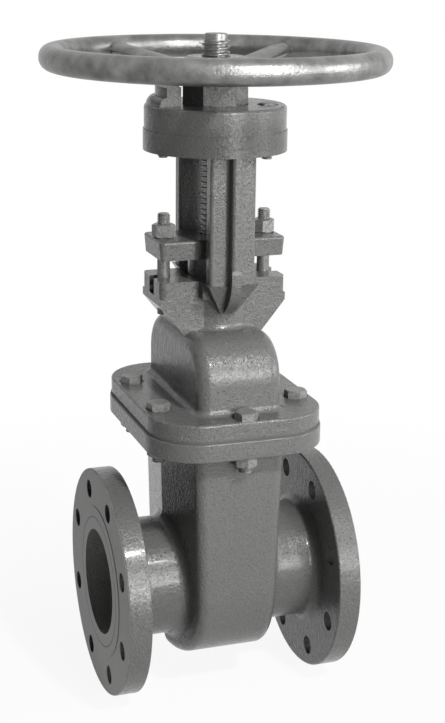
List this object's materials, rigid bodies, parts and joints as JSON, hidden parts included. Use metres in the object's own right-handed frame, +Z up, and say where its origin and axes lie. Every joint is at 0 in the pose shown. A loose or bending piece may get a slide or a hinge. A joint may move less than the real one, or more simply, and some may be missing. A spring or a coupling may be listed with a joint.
{
  "type": "sluice valve",
  "caption": "Flanged cast-iron sluice valve with an outside screw and yoke: the handwheel turns a sleeve that lifts the stem and its wedge gate out of the bore.",
  "frame": {"origin": "centre of the inlet flange's face, on the pipe axis", "axes": "+X along the pipe into the valve, +Z up along the stem"},
  "size_m": [0.317, 0.317, 0.6279],
  "materials": {
    "casting": "dark grey gloss paint over rough cast iron",
    "wheel_metal": "silver grey paint on a smooth casting",
    "stem_steel": "turned steel thread",
    "fastener": "painted steel",
    "gasket": "matt",
    "seat_bronze": "machined"
  },
  "bodies": {
    "valve": {"body": "casting", "bonnet": "casting", "bonnet_gasket": "gasket", "yoke": "casting", "bearing_cap": "casting", "gland": "casting", "inlet_seat_ring": "seat_bronze", "outlet_seat_ring": "seat_bronze", "bonnet_bolt_1": "fastener", "bonnet_bolt_2": "fastener", "bonnet_bolt_3": "fastener", "bonnet_bolt_4": "fastener", "bonnet_bolt_5": "fastener", "bonnet_bolt_6": "fastener", "bonnet_nut_1": "fastener", "bonnet_nut_2": "fastener", "bonnet_nut_3": "fastener", "bonnet_nut_4": "fastener", "bonnet_nut_5": "fastener", "bonnet_nut_6": "fastener", "gland_stud_left": "fastener", "gland_stud_right": "fastener", "gland_nut_left": "fastener", "gland_nut_right": "fastener", "cap_bolt": "fastener", "cap_stud": "fastener"},
    "handwheel_body": {"handwheel": "wheel_metal", "yoke_sleeve": "casting", "wheel_nut": "fastener"},
    "stem_body": {"stem": "stem_steel", "gate": "casting"}
  },
  "joints": [
    {"name": "wheel_turn", "type": "hinge", "parent": "valve", "child": "handwheel_body", "pos_m": [0.1145, 0, 0.496], "axis": [0, 0, 1], "range_deg": [0, 7560]},
    {"name": "stem_lift", "type": "slide", "parent": "valve", "child": "stem_body", "axis": [0, 0, 1], "range_m": [0, 0.1051]}
  ],
  "couplings": [
    {"joint": "stem_lift", "follows": "wheel_turn", "m_per_rad": 0.00079577}
  ]
}
